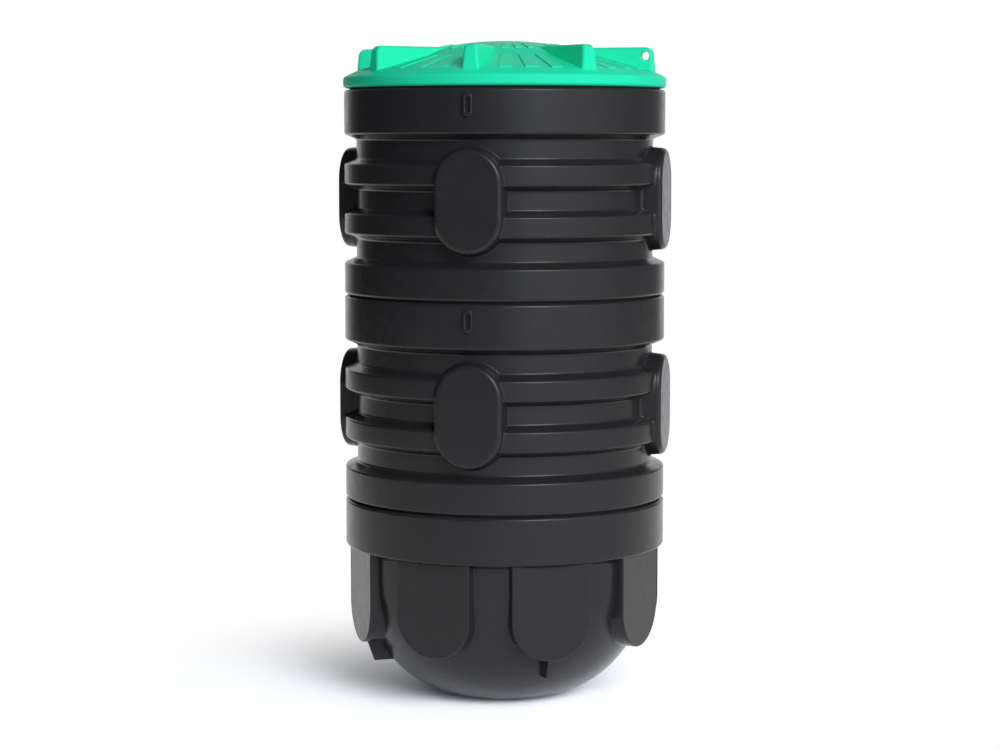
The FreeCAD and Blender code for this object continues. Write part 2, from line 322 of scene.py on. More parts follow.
def corner_arc(before, here, after, radius):
    """An arc that touches both sides of a corner, with its outward directions: as seen from its centre,
    sine weights carry the direction of its start over to that of its end."""
    back = unit(before - here)
    ahead = unit(after - here)
    half = math.acos(np.clip(back @ ahead, -1.0, 1.0)) / 2
    centre = here + unit(back + ahead) * radius / math.sin(half)
    bend = math.pi - 2 * half
    first = (here + back * radius / math.tan(half) - centre) / radius
    last = (here + ahead * radius / math.tan(half) - centre) / radius
    step = min(ARC_STEP, 2 * math.acos(1 - ARC_SAG / max(radius, ARC_SAG)))
    steps = max(2, math.ceil(bend / step))
    share_along = np.linspace(0.0, 1.0, steps + 1)[:, None]
    directions = np.sin((1 - share_along) * bend) * first + np.sin(share_along * bend) * last
    directions = directions / math.sin(bend)
    return centre + radius * directions, directions


def rounded(corners):
    """Points along (r, z, radius) corners: each inner corner with a radius becomes an arc."""
    corners = np.asarray(corners, dtype=float)
    points = [corners[:1, :2]]
    for before, here, after in zip(corners, corners[1:], corners[2:]):
        if here[2] > 0:
            points.append(corner_arc(before[:2], here[:2], after[:2], here[2])[0])
        else:
            points.append(here[None, :2])
    return np.vstack(points + [corners[-1:, :2]])


def outline(corners):
    """Points and outward directions round a closed path of (u, v, radius) corners, counter-clockwise."""
    corners = np.asarray(corners, dtype=float)
    neighbours = zip(np.roll(corners, 1, axis=0), corners, np.roll(corners, -1, axis=0))
    arcs = [corner_arc(before[:2], here[:2], after[:2], here[2]) for before, here, after in neighbours]
    points = np.vstack([arc for arc, directions in arcs])
    outward = np.vstack([directions for arc, directions in arcs])
    apart = np.linalg.norm(points - np.roll(points, 1, axis=0), axis=1) > SAME_PLACE
    return points[apart], outward[apart]


def set_in(corners, distance, fold):
    """The corners moved to the left of their path by an even distance, along the mitre of each bend."""
    places = np.asarray(corners, dtype=float)[:, :2]
    along = unit(np.diff(places, axis=0))
    left = np.column_stack((-along[:, 1], along[:, 0]))
    before = np.vstack((left[:1], left))
    after = np.vstack((left, left[-1:]))
    mitre = (before + after) / (1 + np.sum(before * after, axis=1))[:, None]
    return np.column_stack((places + mitre * distance, np.full(len(places), fold)))


def revolved(profile):
    """A solid of revolution, x = r sin t and y = -r cos t, from a profile that runs up from the axis and
    back to it. The two ends become poles."""
    angles = np.arange(TURN_STEPS) * 2 * math.pi / TURN_STEPS
    r, z = profile[1:-1, :1], profile[1:-1, 1:]
    rows = np.stack((r * np.sin(angles), -r * np.cos(angles), z + 0 * angles), axis=-1)
    poles = np.array(((0, 0, profile[0, 1]), (0, 0, profile[-1, 1])))
    vertices = np.vstack((rows.reshape(-1, 3), poles))
    blocks = [strip_faces(len(r), TURN_STEPS)]
    here = np.arange(TURN_STEPS)
    after = np.roll(here, -1)
    last_row = (len(r) - 1) * TURN_STEPS
    foot_pole = len(vertices) - 2
    head_pole = len(vertices) - 1
    blocks.append(np.column_stack((np.full(TURN_STEPS, foot_pole), after, here)))
    blocks.append(np.column_stack((np.full(TURN_STEPS, head_pole), last_row + here, last_row + after)))
    return vertices, blocks


def strip_faces(rows, columns):
    """Quads between neighbouring rows of a grid whose columns close on themselves."""
    here = np.arange(columns)
    after = np.roll(here, -1)
    base = np.arange(rows - 1)[:, None] * columns
    quads = np.stack((base + here, base + after, base + columns + after, base + columns + here), axis=-1)
    return quads.reshape(-1, 4)


def level_ring(path, height, spread):
    """The path at a height, widened by a spread along its outward directions. Both may vary along it."""
    points, outward = path
    widened = points + np.reshape(spread, (-1, 1)) * outward
    return np.column_stack((widened, height + np.zeros(len(points))))


def plate(path, layers, place, ladder=False):
    """A closed block: a path carried through (height, spread) layers, then put in place. Its ends are flat
    faces, and the upper one may be rungs across a path that is its own mirror."""
    rings = [level_ring(path, height, spread) for height, spread in layers]
    sides = len(path[0])
    ring = np.arange(sides)
    top = (len(layers) - 1) * sides
    blocks = [strip_faces(len(layers), sides), ring[None, ::-1]]
    if ladder:
        rung = np.arange(sides // 2 - 1)
        blocks.append(top + np.column_stack((rung, rung + 1, sides - 2 - rung, sides - 1 - rung)))
    else:
        blocks.append(top + ring[None, :])
    return place(np.vstack(rings)), blocks


def quarter_turn():
    """Even angles over a right angle, as finely as arcs are divided."""
    return np.linspace(0.0, math.pi / 2, math.ceil(math.pi / 2 / ARC_STEP) + 1)


def edge_layers(face, edge):
    """The (height, spread) layers of a rounded edge that ends in a face, as a quarter circle."""
    curve = [(face - edge + edge * math.sin(angle), edge * math.cos(angle) - edge)
             for angle in quarter_turn()]
    return curve + [(face, -edge - FLAT_MARGIN)]


def finer(path, step):
    """The path with points added along it, so that no stretch is longer than a step."""
    points, outward = path
    pieces = np.ceil(np.linalg.norm(np.roll(points, -1, axis=0) - points, axis=1) / step).astype(int)
    before = np.repeat(np.arange(len(points)), pieces)
    after = (before + 1) % len(points)
    first = np.repeat(np.cumsum(pieces) - pieces, pieces)
    along = ((np.arange(len(before)) - first) / pieces[before])[:, None]
    return (points[before] * (1 - along) + points[after] * along,
            unit(outward[before] * (1 - along) + outward[after] * along))


def root_layers(path, ground, foot, draft, root, rim):
    """The (height, spread) layers of sides that start at the foot, curve up out of the ground in a quarter
    ellipse and lean in by the draft up to the rim."""
    points, outward = path

    def lean(height):
        """How far the sides stand out at a height by their draft."""
        return draft * (rim - height) / (rim - foot)

    own_lean = lean(ground(points))[:, None]
    low = ground(points + (own_lean + root) * outward) - ROOT_SINK
    high = np.minimum(ground(points + own_lean * outward) + root, rim - ROOT_SINK)
    layers = [(foot, draft + root)]
    for angle in quarter_turn():
        height = low + (high - low) * (1 - math.cos(angle))
        layers.append((height, lean(height) + root * (1 - math.sin(angle))))
    return layers


def facing_front(points):
    """Puts (u, v, height) so that u runs along +X, v along +Z and the height out along -Y."""
    return np.column_stack((points[:, 0], -points[:, 2], points[:, 1]))


def turned(solid, angle):
    """The solid turned about the shaft from -Y towards +X."""
    vertices, blocks = solid
    c, s = math.cos(angle), math.sin(angle)
    return vertices @ np.array(((c, s, 0), (-s, c, 0), (0, 0, 1))), blocks


def joined(solids):
    """Several solids that don't touch, as one."""
    starts = np.cumsum([0] + [len(vertices) for vertices, blocks in solids])
    blocks = [block + start for (vertices, own), start in zip(solids, starts) for block in own]
    return np.vstack([vertices for vertices, own in solids]), blocks


def around(solid, copies, first=0.0):
    """Copies of the solid at even angles about the shaft."""
    return joined([turned(solid, first + 2 * math.pi * i / copies) for i in range(copies)])


def mesh_object(name, solid, height=0.0):
    """An object whose mesh is the solid, raised to a height."""
    vertices, blocks = solid
    mesh = bpy.data.meshes.new(name)
    faces = [face for block in blocks for face in block.tolist()]
    mesh.from_pydata((vertices + (0.0, 0.0, height)).tolist(), [], faces)
    piece = bpy.data.objects.new(name, mesh)
    bpy.context.scene.collection.objects.link(piece)
    return piece


def combine(piece, solid, height, operation):
    """Joins a solid to the piece, or takes it away. A step that leaves the mesh as it was has failed."""
    other = mesh_object(piece.name + "_step", solid, height)
    step = piece.modifiers.new(operation, "BOOLEAN")
    step.operation = operation
    step.solver = "MANIFOLD"
    step.object = other
    mesh = bpy.data.meshes.new_from_object(piece.evaluated_get(bpy.context.evaluated_depsgraph_get()))
    if len(mesh.vertices) == len(piece.data.vertices):
        raise RuntimeError(f"{piece.name}: a step of {operation.lower()} changed nothing")
    piece.modifiers.clear()
    piece.data = mesh
    bpy.data.objects.remove(other)


def shell_piece(name, outer, added, removed, height, finish):
    """One moulding: the outer solid with the added ones joined on and the removed ones taken away."""
    piece = mesh_object(name, outer, height)
    for solid in added:
        combine(piece, solid, height, "UNION")
    for solid in removed:
        combine(piece, solid, height, "DIFFERENCE")
    mesh = piece.data
    mesh.materials.clear()
    mesh.materials.append(finish)
    mesh.shade_smooth()
    mesh.set_sharp_from_angle(angle=SHARP_ANGLE)
    normals = piece.modifiers.new("Even normals", "WEIGHTED_NORMAL")
    normals.keep_sharp = True
    return piece


def neck_radius(shell):
    """Outside of the necks between ribs and collars."""
    return shell.collar_radius - shell.rib_depth


def mouth_radius(shell):
    """Inside of the land round a mouth."""
    return shell.collar_radius - shell.land_width


def collar_corners(shell, top, face):
    """Corners of a collar whose land lies at the top, from the neck up to its rim."""
    foot = top - face
    return [(neck_radius(shell), foot - shell.collar_slope, shell.root),
            (shell.collar_radius, foot, shell.fold), (shell.collar_radius, top, shell.rim)]


def ribbed_stretch(shell, ring, height):
    """The foot of a ring's ribbed stretch, between flange and collar, and its length."""
    foot = ring.flange_height + ring.flange_slope
    return foot, height - foot - shell.collar_slope - ring.collar_height


def ring_corners(shell, ring, height):
    """Corners of a ring's outside, from the spigot's foot up to the collar's rim."""
    neck = neck_radius(shell)
    spigot = mouth_radius(shell) - ring.spigot_clearance
    flange_top, ribbed = ribbed_stretch(shell, ring, height)
    rib_height = ring.rib_face + 2 * ring.rib_slope
    gap = (ribbed - ring.rib_count * rib_height) / (ring.rib_count + 1)
    corners = [(spigot, -ring.spigot_length, INSIDE_FOLD), (spigot, 0.0, INSIDE_FOLD),
               (shell.collar_radius, 0.0, shell.rim), (shell.collar_radius, ring.flange_height, shell.fold),
               (neck, flange_top, shell.root)]
    for i in range(ring.rib_count):
        foot = flange_top + gap + i * (rib_height + gap)
        corners += [(neck, foot, shell.root), (shell.collar_radius, foot + ring.rib_slope, shell.fold),
                    (shell.collar_radius, foot + ring.rib_slope + ring.rib_face, shell.fold),
                    (neck, foot + rib_height, shell.root)]
    return corners + collar_corners(shell, height, ring.collar_height)


def arch(width, bottom, top, corner):
    """A path with straight sides, a half circle as its lower end and rounded corners at the top."""
    half = width / 2
    return outline([(half, bottom, half), (half, top, corner), (-half, top, corner), (-half, bottom, half)])


def oblong(width, bottom, top):
    """A path with straight sides and half circles as its ends."""
    return arch(width, bottom, top, width / 2)


def lug_loop(shell, ring, height):
    """The loop on a collar: the section of its bar carried round between an outer oblong and the slot's."""
    centre = height - ring.lug_depth
    bar = oblong(ring.lug_width, centre - ring.lug_height / 2, centre + ring.lug_height / 2)
    slot = oblong(ring.slot_width, centre - ring.slot_height / 2, centre + ring.slot_height / 2)
    root = shell.collar_radius - shell.wall / 2
    face = shell.collar_radius + ring.lug_proud
    rise = edge_layers(face, ring.lug_edge)[:-1]
    outer = [(root, 0.0)] + rise
    inner = [(h, -spread) for h, spread in reversed(rise)] + [(root, 0.0)]
    rings = [level_ring(path, h, spread)
             for path, layers in ((bar, outer), (slot, inner)) for h, spread in layers]
    sides = len(bar[0])
    faces = strip_faces(len(rings), sides)
    seam = strip_faces(2, sides)
    last = (len(rings) - 1) * sides
    closing = np.where(seam < sides, last + seam, seam - sides)
    return facing_front(np.vstack(rings)), [faces, closing]


def ring_solids(shell, ring, height):
    """A shaft ring as its outer solid, what is joined on and what is taken away."""
    corners = ring_corners(shell, ring, height)
    mouth = mouth_radius(shell)
    flange_top, ribbed = ribbed_stretch(shell, ring, height)
    low = flange_top + (ribbed - ring.pad_height) / 2
    high = low + ring.pad_height
    section = rounded(corners)

    def ground(points):
        """How far out along -Y the ring's outside lies, at the radius of its section there."""
        return np.sqrt(np.interp(points[:, 1], section[:, 1], section[:, 0]) ** 2 - points[:, 0] ** 2)

    pad_path = finer(oblong(ring.pad_width, low, high), ROOT_STEP)
    pad_rim = ring.pad_face - ring.pad_edge
    pad_sides = root_layers(pad_path, ground, mouth, ring.pad_draft, ring.pad_root, pad_rim)
    pad = plate(pad_path, pad_sides + edge_layers(ring.pad_face, ring.pad_edge), facing_front)
    pocket_face = edge_layers(ring.pad_face - shell.wall, INSIDE_FOLD)
    pocket = plate(oblong(ring.pad_width - 2 * shell.wall, low + shell.wall, high - shell.wall),
                   [(mouth - shell.wall, ring.pad_draft)] + pocket_face, facing_front)
    outer = revolved(rounded([(0.0, -ring.spigot_length, 0.0)] + corners + [(0.0, height, 0.0)]))
    inside = set_in(corners + [(mouth, height, 0.0)], shell.wall, INSIDE_FOLD)
    inside[0, 1] -= shell.wall
    inside[-1, 2] = 0.0
    over = height + shell.wall
    core = rounded([(0.0, inside[0, 1], 0.0), *inside, (mouth, over, 0.0), (0.0, over, 0.0)])
    added = [joined([around(pad, ring.pad_count), lug_loop(shell, ring, height)])]
    return outer, added, [revolved(core), around(pocket, ring.pad_count)]


def dish(flat, wall_radius, dish_height, inset):
    """A quarter ellipse, r = flat + a sin t and z = top - b cos t, with a and b less the inset."""
    t = np.linspace(0.0, math.pi / 2, DISH_STEPS + 1)
    return np.column_stack((flat + (wall_radius - inset - flat) * np.sin(t),
                            dish_height - (dish_height - inset) * np.cos(t)))


def gusset(sump, neck):
    """A short web under a pad's tip: its rounded section carried across its thickness."""
    foot = sump.arch_tip - sump.gusset_drop
    top = sump.arch_tip + 2 * sump.arch_draft
    top_radius = neck - sump.gusset_top_inset
    corner = 2 * sump.gusset_edge
    path = outline([(sump.flat_radius, foot, corner), (neck - sump.gusset_foot_inset, foot, corner),
                    (top_radius, sump.arch_tip, corner), (top_radius, top, corner),
                    (sump.flat_radius, top, corner)])
    near = edge_layers(sump.gusset_thickness / 2, sump.gusset_edge)[:-1]
    far = [(-h, spread) for h, spread in reversed(near)]
    return plate(path, far + near, along_front)


def along_front(points):
    """Puts (u, v, height) so that u runs out along -Y, v along +Z and the height along -X."""
    return np.column_stack((-points[:, 2], -points[:, 0], points[:, 1]))


def sump_solids(shell, sump, height):
    """The sump as its outer solid, what is joined on and what is taken away."""
    neck = neck_radius(shell)
    mouth = mouth_radius(shell)
    dish_height = height - sump.collar_height - shell.collar_slope - sump.wall_height
    collar = collar_corners(shell, height, sump.collar_height)
    wall_foot = (neck, dish_height, 0.0)
    outside = rounded([wall_foot] + collar + [(0.0, height, 0.0)])
    bowl = dish(sump.flat_radius, neck, dish_height, 0.0)
    outer = revolved(np.vstack(((0.0, 0.0), bowl, outside[1:])))
    inside = set_in([wall_foot] + collar + [(mouth, height, 0.0)], shell.wall, INSIDE_FOLD)
    inside[-1, 2] = 0.0
    over = height + shell.wall
    inside = rounded([*inside, (mouth, over, 0.0), (0.0, over, 0.0)])
    hollow = dish(sump.flat_radius, neck, dish_height, shell.wall)
    core = revolved(np.vstack(((0.0, shell.wall), hollow, inside[1:])))
    drop = (dish_height - sump.arch_tip + sump.arch_draft) / dish_height
    root = sump.flat_radius + (neck - sump.flat_radius) * math.sqrt(1 - drop ** 2) - 2 * shell.wall
    face = neck + sump.arch_proud
    top = height - sump.collar_height / 2
    pad = plate(arch(sump.arch_width, sump.arch_tip, top, 2 * shell.wall),
                [(root, sump.arch_draft)] + edge_layers(face, sump.arch_edge), facing_front)
    pocket_path = arch(sump.arch_width - 2 * shell.wall, sump.arch_tip + shell.wall, top - shell.wall,
                       shell.wall)
    pocket_face = edge_layers(face - shell.wall, INSIDE_FOLD)
    pocket = plate(pocket_path, [(root - shell.wall, sump.arch_draft)] + pocket_face, facing_front)
    added = [around(pad, sump.arch_count, sump.turn),
             around(gusset(sump, neck), sump.gusset_count, sump.turn)]
    return outer, added, [core, around(pocket, sump.arch_count, sump.turn)]


def crown_height(radius, rim_radius, top, rise):
    """Height of the crown at a radius, on the ball that passes through its rim and its top."""
    ball = (rim_radius ** 2 + rise ** 2) / (2 * rise)
    return top - ball + np.sqrt(ball ** 2 - radius ** 2)


def lid_profile(corners, top):
    """A lid's profile from its foot up: rounded corners, then the crown's arc in to the axis."""
    rim_radius, rim_height = corners[-1][:2]
    radii = np.linspace(rim_radius, 0.0, CROWN_STEPS + 1)[1:]
    heights = crown_height(radii, rim_radius, top, top - rim_height)
    arc = np.column_stack((radii, heights))
    return np.vstack((rounded(corners + [(*arc[0], 0.0)]), arc[1:]))


def lid_levels(lid):
    """Radii and heights of the lid's folds: shoulder, riser and crown rim, and the crown's top."""
    shoulder = (lid.brim_radius - lid.shoulder_width, lid.brim_height + lid.shoulder_rise)
    riser = (shoulder[0] - lid.cone_width, shoulder[1] + lid.cone_rise)
    crown = (riser[0] - lid.riser_width, riser[1] + lid.riser_rise)
    return shoulder, riser, crown, crown[1] + lid.crown_rise


def fin(lid, inset, end_radius, edge, nose):
    """A radial fin along -Y: its side view carried across its width, which narrows evenly upwards."""
    crown = lid_levels(lid)[2]
    foot = lid.brim_height + inset
    top = lid.brim_height + lid.fin_height - inset
    inner = crown[0] - lid.fin_reach
    corner = edge + FLAT_MARGIN + INSIDE_FOLD
    path = outline([(inner, foot, corner), (end_radius, foot, corner),
                    (end_radius - lid.fin_end_draft, top, nose), (inner, top, corner)])
    half_foot = lid.fin_width_foot / 2 - inset
    half_top = lid.fin_width_top / 2 - inset
    side = 1.0

    def narrowed(points):
        """Moves the sides, first laid far out, in to the fin's half width at each height."""
        half = half_foot + (half_top - half_foot) * (points[:, 1] - foot) / (top - foot)
        across = np.sign(points[:, 2]) * (half - side + np.abs(points[:, 2]))
        return along_front(np.column_stack((points[:, :2], across)))

    near = edge_layers(side, edge)
    far = [(-h, spread) for h, spread in reversed(near)]
    return plate(path, far + near, narrowed)


def lock_eye(lid):
    """The hole across the fin on +X, as a solid of revolution about its own axis with flared ends."""
    end = lid.brim_radius - lid.fin_setback
    height = lid.brim_height + lid.fin_height - lid.eye_drop
    widening = (lid.fin_width_foot - lid.fin_width_top) * lid.eye_drop / lid.fin_height
    half = (lid.fin_width_top + widening) / 2
    reach = lid.fin_width_foot
    wide = lid.eye_radius + EYE_FLARE * lid.eye_edge
    profile = rounded([(0.0, -reach, 0.0), (wide, -reach, 0.0), (wide, -half, 0.0),
                       (lid.eye_radius, -half, lid.eye_edge), (lid.eye_radius, half, lid.eye_edge),
                       (wide, half, 0.0), (wide, reach, 0.0), (0.0, reach, 0.0)])
    vertices, blocks = revolved(profile)
    placed = np.column_stack((vertices[:, 0], vertices[:, 2], -vertices[:, 1]))
    return placed + (end - lid.eye_setback, 0.0, height), blocks


def panel(lid, inner, outer):
    """A raised panel with radial sides along -Y: a trapezoid whose height follows the lid's slope."""
    shoulder, riser, crown, top = lid_levels(lid)
    half = math.tan(lid.panel_angle / 2)
    path = outline([(-inner * half, -inner, lid.panel_corner), (-outer * half, -outer, lid.panel_corner),
                    (outer * half, -outer, lid.panel_corner), (inner * half, -inner, lid.panel_corner)])

    def on_lid(points):
        """Heights are measured up from the cone or the crown."""
        radius = np.hypot(points[:, 0], points[:, 1])
        cone = shoulder[1] + (shoulder[0] - radius) / lid.cone_width * lid.cone_rise
        ball = crown_height(np.minimum(radius, crown[0]), crown[0], top, lid.crown_rise)
        ground = np.where(radius > crown[0], cone, ball)
        return np.column_stack((points[:, :2], points[:, 2] + ground))

    layers = [(-lid.wall / 2, 0.0)] + edge_layers(lid.panel_rise, lid.panel_edge)
    return plate(path, layers, on_lid, ladder=True)


def panels(lid):
    """Both tiers of raised panels."""
    shoulder, riser, crown, top = lid_levels(lid)
    crown_outer = crown[0] - lid.crown_panel_margin
    tiers = ((riser[0] + lid.panel_margin, shoulder[0] - lid.panel_margin),
             (crown_outer - lid.crown_panel_length, crown_outer))
    first = (2 * math.pi / lid.fin_count - lid.panel_step * (lid.panels_per_sector - 1)) / 2
    return [around(panel(lid, *tier), lid.fin_count, first + i * lid.panel_step)
            for tier in tiers for i in range(lid.panels_per_sector)]


def lid_solids(shell, lid):
    """The lid as its outer solid, what is joined on and what is taken away."""
    shoulder, riser, crown, top = lid_levels(lid)
    spigot = mouth_radius(shell) - lid.clearance
    corners = [(spigot, -lid.spigot, INSIDE_FOLD), (spigot, 0.0, INSIDE_FOLD),
               (lid.brim_radius, 0.0, lid.brim_edge), (lid.brim_radius, lid.brim_height, lid.brim_edge),
               (*shoulder, lid.fold), (*riser, lid.fold), (*crown, lid.fold)]
    outer = revolved(lid_profile([(0.0, -lid.spigot, 0.0)] + corners, top))
    inside = set_in(corners, lid.wall, INSIDE_FOLD)
    inside[0, 1] -= lid.wall
    core = revolved(lid_profile([(0.0, inside[0, 1], 0.0)] + [tuple(c) for c in inside], top - lid.wall))
    end = lid.brim_radius - lid.fin_setback
    fins = around(fin(lid, 0.0, end, lid.fin_edge, lid.fin_nose), lid.fin_count)
    hollow = fin(lid, lid.wall, end - lid.eye_setback - lid.eye_web,
                 edge=INSIDE_FOLD / 2, nose=2 * INSIDE_FOLD)
    return outer, [joined([fins] + panels(lid))], [core, around(hollow, lid.fin_count), lock_eye(lid)]


def add_node(tree, kind, values=None, **settings):
    """A node with its settings, whose named inputs get a value or a link from another node's output."""
    node = tree.nodes.new(kind)
    for name, value in settings.items():
        setattr(node, name, value)
    for name, value in (values or {}).items():
        if isinstance(value, bpy.types.NodeSocket):
            tree.links.new(value, node.inputs[name])
        else:
            node.inputs[name].default_value = value
    return node


def moulded(name, colour, haze, shine, rough, grain, sway):
    """Moulded polymer: clouds of paler haze in the colour, uneven gloss, fine grain and slow waves."""
    material = bpy.data.materials.new(name)
    material.use_nodes = True
    tree = material.node_tree
    shader = tree.nodes["Principled BSDF"]
    shader.inputs["Specular IOR Level"].default_value = shine
    place = add_node(tree, "ShaderNodeTexCoord").outputs["Object"]

    def noise(pattern):
        """Noise with a pattern's scale and detail, fixed to the piece."""
        return add_node(tree, "ShaderNodeTexNoise", {"Vector": place, **pattern}).outputs["Fac"]

    mixed = add_node(tree, "ShaderNodeMix", {"Factor": noise(HAZE_NOISE)}, data_type="RGBA")
    mixed.inputs["A"].default_value = (*colour, 1.0)
    mixed.inputs["B"].default_value = (*haze, 1.0)
    gloss = add_node(tree, "ShaderNodeMapRange", {
        "Value": noise(GLOSS_NOISE), "From Min": GLOSS_RANGE[0], "From Max": GLOSS_RANGE[1],
        "To Min": rough + ROUGH_SWING[0], "To Max": rough + ROUGH_SWING[1]})
    slow = add_node(tree, "ShaderNodeBump", {
        "Height": noise(WAVE_NOISE), "Distance": sway, "Strength": 1.0})
    fine = add_node(tree, "ShaderNodeBump", {
        "Height": noise(GRAIN_NOISE), "Distance": grain, "Strength": 1.0,
        "Normal": slow.outputs["Normal"]})
    tree.links.new(mixed.outputs["Result"], shader.inputs["Base Color"])
    tree.links.new(gloss.outputs["Result"], shader.inputs["Roughness"])
    tree.links.new(fine.outputs["Normal"], shader.inputs["Normal"])
    return material


def black_plastic(scene):
    """The finish of the sump and the rings, made once."""
    finish = scene.chamber_finishes
    name = "black_polyethylene_moulded"
    made = bpy.data.materials.get(name)
    return made or moulded(name, finish.black, finish.black_haze, finish.black_shine, finish.black_rough,
                           finish.grain, finish.sway)


class CHAMBER_OT_base_sump(bpy.types.Operator):
    """Builds the dished sump with its arched pads, gussets and collar"""

    bl_idname = "chamber.base_sump"
    bl_label = "Base sump"

    def execute(self, context):
        scene = context.scene
        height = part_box("base_sump")[1][2]
        solids = sump_solids(scene.chamber_shell, scene.chamber_sump, height)
        piece = shell_piece("sump_shell", *solids, height=0.0, finish=black_plastic(scene))
        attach(piece, "chamber")
        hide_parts("base_sump")
        return {"FINISHED"}


class CHAMBER_OT_shaft_rings(bpy.types.Operator):
    """Builds both shaft rings with their ribs, pipe-entry pads and lugs"""

    bl_idname = "chamber.shaft_rings"
    bl_label = "Shaft rings"

    def execute(self, context):
        scene = context.scene
        for node, seal in (("lower_ring", "base_joint_seal"), ("upper_ring", "ring_joint_seal")):
            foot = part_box(seal)[1][2]
            solids = ring_solids(scene.chamber_shell, scene.chamber_ring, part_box(node)[1][2] - foot)
            piece = shell_piece(node + "_shell", *solids, foot, black_plastic(scene))
            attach(piece, "chamber")
            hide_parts(node)
        return {"FINISHED"}


class CHAMBER_OT_lid(bpy.types.Operator):
    """Builds the lid with its fins, raised panels and lock eye"""

    bl_idname = "chamber.lid"
    bl_label = "Lid"

    def execute(self, context):
        scene = context.scene
        finish = scene.chamber_finishes
        solids = lid_solids(scene.chamber_shell, scene.chamber_lid)
        green = moulded("green_polyethylene_moulded", finish.green, finish.green_haze, finish.green_shine,
                        finish.green_rough, finish.grain, finish.sway)
        piece = shell_piece("lid_shell", *solids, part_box("lid_seal")[1][2], green)
        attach(piece, "lid")
        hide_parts("lid")
        return {"FINISHED"}


class CHAMBER_OT_seals(bpy.types.Operator):
    """Gives the rubber rings in the joints their finish"""

    bl_idname = "chamber.seals"
    bl_label = "Seals"

    def execute(self, context):
        finish = context.scene.chamber_finishes
        rubber = moulded("seal_rubber_moulded", finish.rubber, finish.rubber_haze, finish.rubber_shine,
                         finish.rubber_rough, finish.grain, finish.sway)
        for node in ("base_joint_seal", "ring_joint_seal", "lid_seal"):
            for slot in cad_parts[node].material_slots:
                slot.material = rubber
        return {"FINISHED"}


def at_bearing(angle, rise, distance=1.0):
    """A place at a bearing from -Y towards +X, at an angle over the horizon."""
    level = distance * math.cos(rise)
    return level * math.sin(angle), -level * math.cos(angle), distance * math.sin(rise)


def maths(tree, operation, first, second):
    """The result of an operation on two numbers."""
    return add_node(tree, "ShaderNodeMath", {0: first, 1: second}, operation=operation).outputs[0]


def mix(tree, amount, first, second):
    """The first shader, or the second in the amount given."""
    return add_node(tree, "ShaderNodeMixShader", {0: amount, 1: first, 2: second}).outputs[0]


def smooth_step(tree, value, start, end):
    """A soft change from 0 at the start to 1 at the end."""
    step = add_node(tree, "ShaderNodeMapRange", {"Value": value, "From Min": start, "From Max": end},
                    interpolation_type="SMOOTHSTEP")
    return step.outputs["Result"]


def background(tree, colour, strength):
    """Light of a colour from the room."""
    return add_node(tree, "ShaderNodeBackground", {"Color": colour, "Strength": strength}).outputs[0]


def matt(tree, tone):
    """A surface that scatters light evenly."""
    return add_node(tree, "ShaderNodeBsdfDiffuse", {"Color": (*tone, 1.0)}).outputs[0]


def floor_finish(stage):
    """A pale floor that keeps the shadow. Where it is seen or mirrored it turns white far out."""
    material = bpy.data.materials.new("floor_pale")
    material.use_nodes = True
    tree = material.node_tree
    tree.nodes.clear()
    place = add_node(tree, "ShaderNodeTexCoord").outputs["Object"]
    away = add_node(tree, "ShaderNodeVectorMath", {0: place}, operation="LENGTH").outputs["Value"]
    fade = smooth_step(tree, away, stage.fade_start, stage.fade_end)
    ray = add_node(tree, "ShaderNodeLightPath").outputs
    direct = maths(tree, "MAXIMUM", ray["Is Camera Ray"], ray["Is Transmission Ray"])
    sight = maths(tree, "MAXIMUM", direct, ray["Is Glossy Ray"])
    tone = np.array(stage.floor_tone)
    near = mix(tree, sight, matt(tree, tone), matt(tree, tone * stage.floor_gain))
    white = add_node(tree, "ShaderNodeEmission", {"Color": WHITE, "Strength": 1.0}).outputs[0]
    shown = mix(tree, maths(tree, "MULTIPLY", sight, fade), near, white)
    add_node(tree, "ShaderNodeOutputMaterial", {"Surface": shown})
    return material


def facing(tree, direction, middle):
    """Cosine of the angle between a direction and the middle of a light."""
    product = add_node(tree, "ShaderNodeVectorMath", {0: direction, 1: middle}, operation="DOT_PRODUCT")
    return product.outputs["Value"]


def lobe(tree, direction, middle, light):
    """Light from one side of the room: its level times the cosine from its middle, raised to its focus."""
    front = maths(tree, "MAXIMUM", facing(tree, direction, middle), 0.0)
    shape = maths(tree, "POWER", front, light.focus)
    return background(tree, (*light.colour, 1.0), maths(tree, "MULTIPLY", shape, light.level))


def studio_world(scene):
    """A room with soft lights on several sides. The camera sees it as plain white, and the shine of the
    mouldings shows a pale backdrop behind them."""
    stage = scene.chamber_stage
    world = bpy.data.worlds.new("studio")
    world.use_nodes = True
    tree = world.node_tree
    tree.nodes.clear()
    direction = add_node(tree, "ShaderNodeTexCoord").outputs["Generated"]
    room = background(tree, WHITE, stage.room_level)
    for name in LIGHTS:
        light = getattr(scene, name)
        glow = lobe(tree, direction, at_bearing(stage.camera_turn + light.turn, light.rise), light)
        room = add_node(tree, "ShaderNodeAddShader", {0: room, 1: glow}).outputs[0]
    behind = facing(tree, direction, at_bearing(stage.camera_turn + math.pi, 0.0))
    backdrop = smooth_step(tree, behind, math.cos(stage.backdrop_edge), math.cos(stage.backdrop_fade))
    ray = add_node(tree, "ShaderNodeLightPath").outputs
    mirrored = maths(tree, "MULTIPLY", ray["Is Glossy Ray"], backdrop)
    round_about = mix(tree, mirrored, room, background(tree, (*stage.backdrop_tint, 1.0), 1.0))
    seen = maths(tree, "MAXIMUM", ray["Is Camera Ray"], ray["Is Transmission Ray"])
    result = mix(tree, seen, round_about, background(tree, WHITE, 1.0))
    add_node(tree, "ShaderNodeOutputWorld", {"Surface": result})
    return world


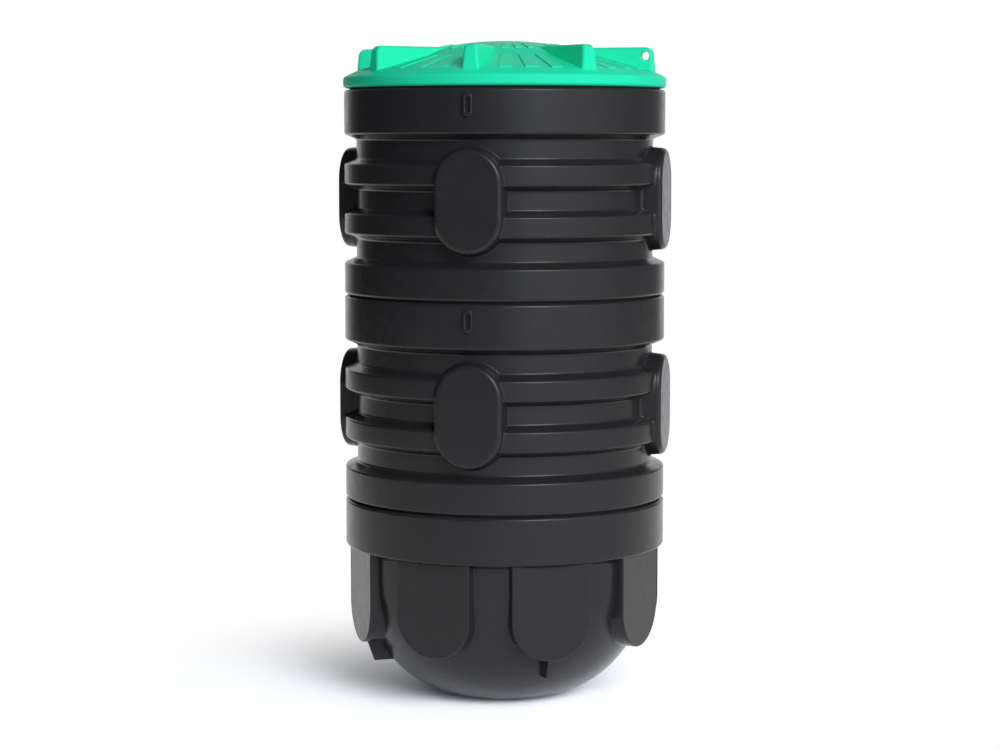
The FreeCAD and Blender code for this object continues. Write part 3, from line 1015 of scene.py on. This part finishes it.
class CHAMBER_OT_stage(bpy.types.Operator):
    """Sets the pale floor, the soft lights and the camera"""

    bl_idname = "chamber.stage"
    bl_label = "Stage"

    def execute(self, context):
        scene = context.scene
        stage = scene.chamber_stage
        reach = stage.floor_reach
        mesh = bpy.data.meshes.new("floor")
        corners = [(-reach, -reach, 0.0), (reach, -reach, 0.0), (reach, reach, 0.0), (-reach, reach, 0.0)]
        mesh.from_pydata(corners, [], [(0, 1, 2, 3)])
        mesh.materials.append(floor_finish(stage))
        floor = bpy.data.objects.new("floor", mesh)
        scene.collection.objects.link(floor)
        scene.world = studio_world(scene)
        view = bpy.data.cameras.new("camera")
        view.sensor_width = SENSOR_WIDTH
        view.lens = stage.lens
        camera = bpy.data.objects.new("camera", view)
        camera.location = at_bearing(stage.camera_turn, 0.0, stage.camera_distance)
        camera.location.z = stage.camera_height
        heading = stage.camera_turn + stage.camera_yaw
        camera.rotation_euler = (math.pi / 2 - stage.camera_pitch, 0.0, heading)
        scene.collection.objects.link(camera)
        scene.camera = camera
        scene.view_settings.view_transform = "Standard"
        return {"FINISHED"}


class CHAMBER_PT_tools(bpy.types.Panel):
    """Lists the chamber's pieces and its stage"""

    bl_idname = "CHAMBER_PT_tools"
    bl_label = "Drain inspection chamber"
    bl_space_type = "VIEW_3D"
    bl_region_type = "UI"
    bl_category = "Chamber"

    def draw(self, context):
        for operator in OPERATORS:
            self.layout.operator(operator.bl_idname)


GROUPS = {
    "chamber_shell": ShellSizes,
    "chamber_ring": RingSizes,
    "chamber_sump": SumpSizes,
    "chamber_lid": LidSizes,
    "chamber_finishes": Finishes,
    "chamber_stage": StageSettings,
}
SETTINGS = {**GROUPS, **LIGHTS}
OPERATORS = (
    CHAMBER_OT_base_sump,
    CHAMBER_OT_shaft_rings,
    CHAMBER_OT_lid,
    CHAMBER_OT_seals,
    CHAMBER_OT_stage,
)


def register():
    """Adds the classes and hangs the settings on the scene."""
    for part in (*SETTINGS.values(), *OPERATORS, CHAMBER_PT_tools):
        bpy.utils.register_class(part)
    for name, group in SETTINGS.items():
        setattr(bpy.types.Scene, name, PointerProperty(type=group))


def unregister():
    """Takes the settings and the classes away again."""
    for name in SETTINGS:
        delattr(bpy.types.Scene, name)
    for part in reversed((*SETTINGS.values(), *OPERATORS, CHAMBER_PT_tools)):
        bpy.utils.unregister_class(part)


def main():
    """Registers the classes, builds every piece and the stage, and writes the boxes."""
    register()
    bpy.ops.chamber.base_sump()
    bpy.ops.chamber.shaft_rings()
    bpy.ops.chamber.lid()
    bpy.ops.chamber.seals()
    bpy.ops.chamber.stage()


if __name__ == "__main__":
    main()
